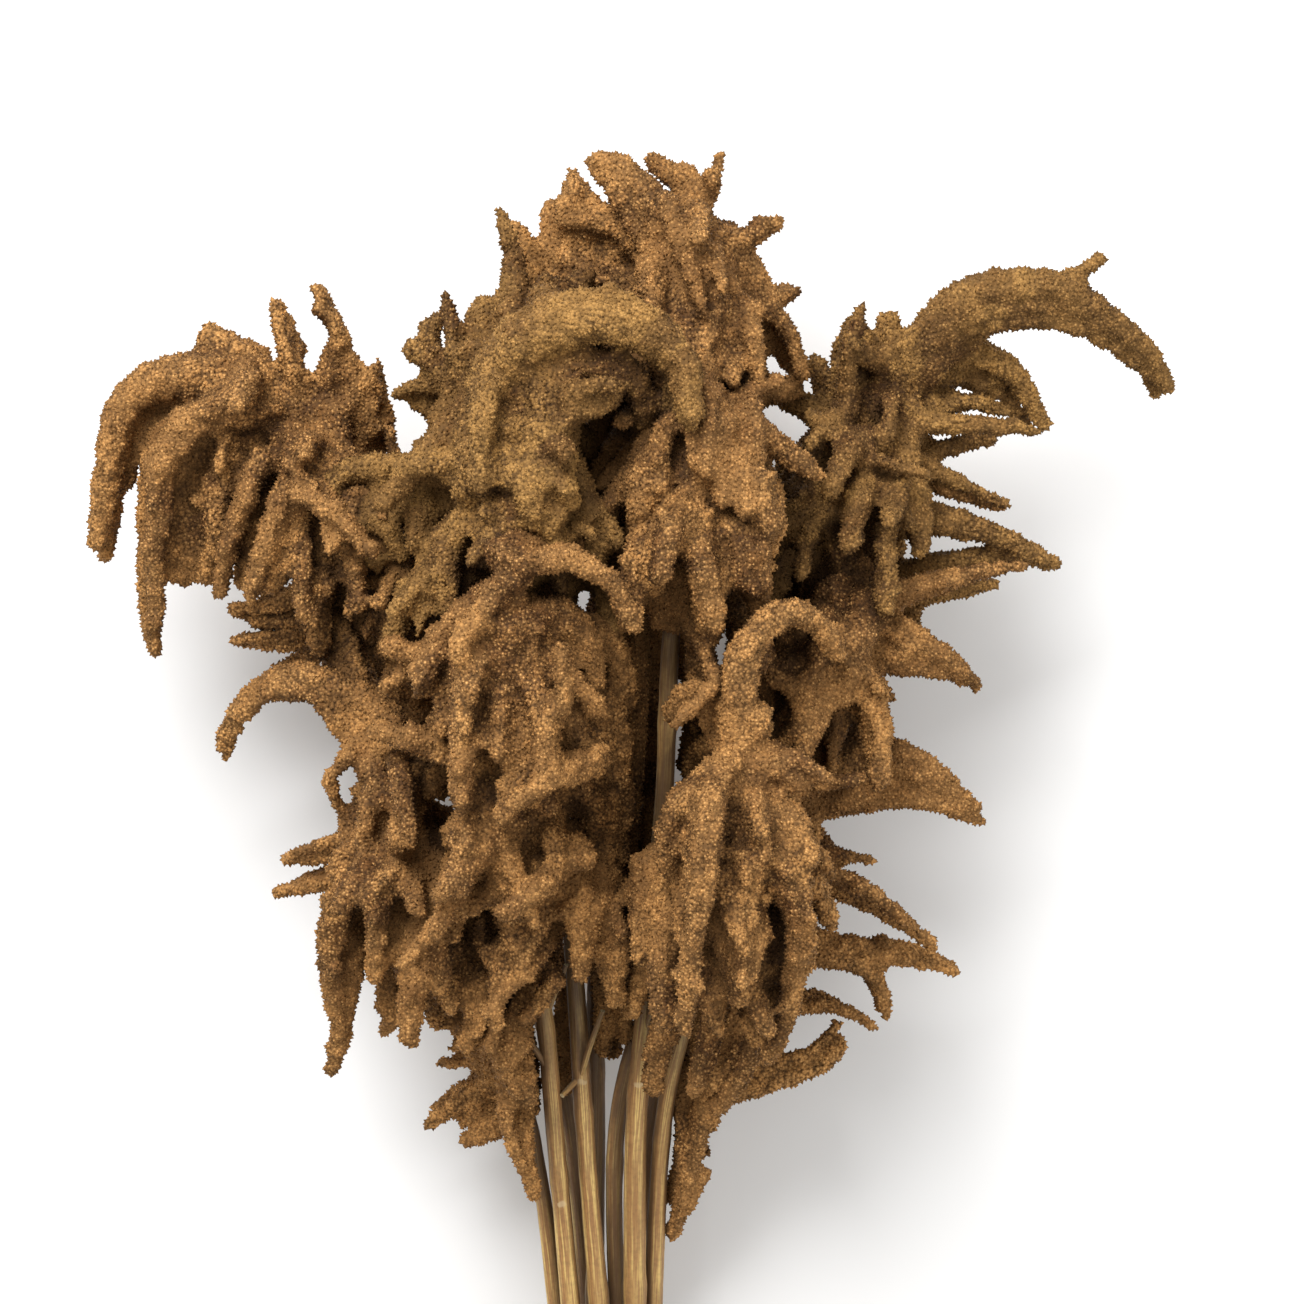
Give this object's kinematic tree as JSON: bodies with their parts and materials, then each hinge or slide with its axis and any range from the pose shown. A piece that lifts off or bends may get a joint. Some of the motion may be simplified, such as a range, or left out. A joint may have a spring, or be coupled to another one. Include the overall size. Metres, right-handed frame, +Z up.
{
  "type": "dried amaranth bunch",
  "caption": "Tied bunch of dried amaranth stems with branching, drooping brown seed heads, lying on its side.",
  "frame": {"origin": "on the surface the bunch lies on, under the middle of its bounding box", "axes": "+Y along the bunch from the cut ends to the seed heads, +Z up from the surface, +X to the right seen from above with the heads away"},
  "size_m": [0.39, 0.62, 0.184],
  "materials": {
    "seed_head": "dry, dull, densely packed seed clusters",
    "golden_seed_head": "dry, dull, densely packed seed clusters",
    "stalk": "dry, ribbed, slightly waxy",
    "twine": "twisted plant fibre"
  },
  "bodies": {
    "root": {"head_far_left": "seed_head", "head_low_left": "seed_head", "head_front_left": "seed_head", "head_centre_left": "golden_seed_head", "head_top": "seed_head", "head_centre_right": "seed_head", "head_right_arch": "golden_seed_head", "head_right_mid": "seed_head", "head_low_right": "seed_head", "stalk_far_left": "stalk", "stalk_low_left": "stalk", "stalk_front_left": "stalk", "stalk_centre_left": "stalk", "stalk_top": "stalk", "stalk_centre_right": "stalk", "stalk_right_arch": "stalk", "stalk_right_mid": "stalk", "stalk_low_right": "stalk", "tie": "twine"}
  },
  "joints": []
}
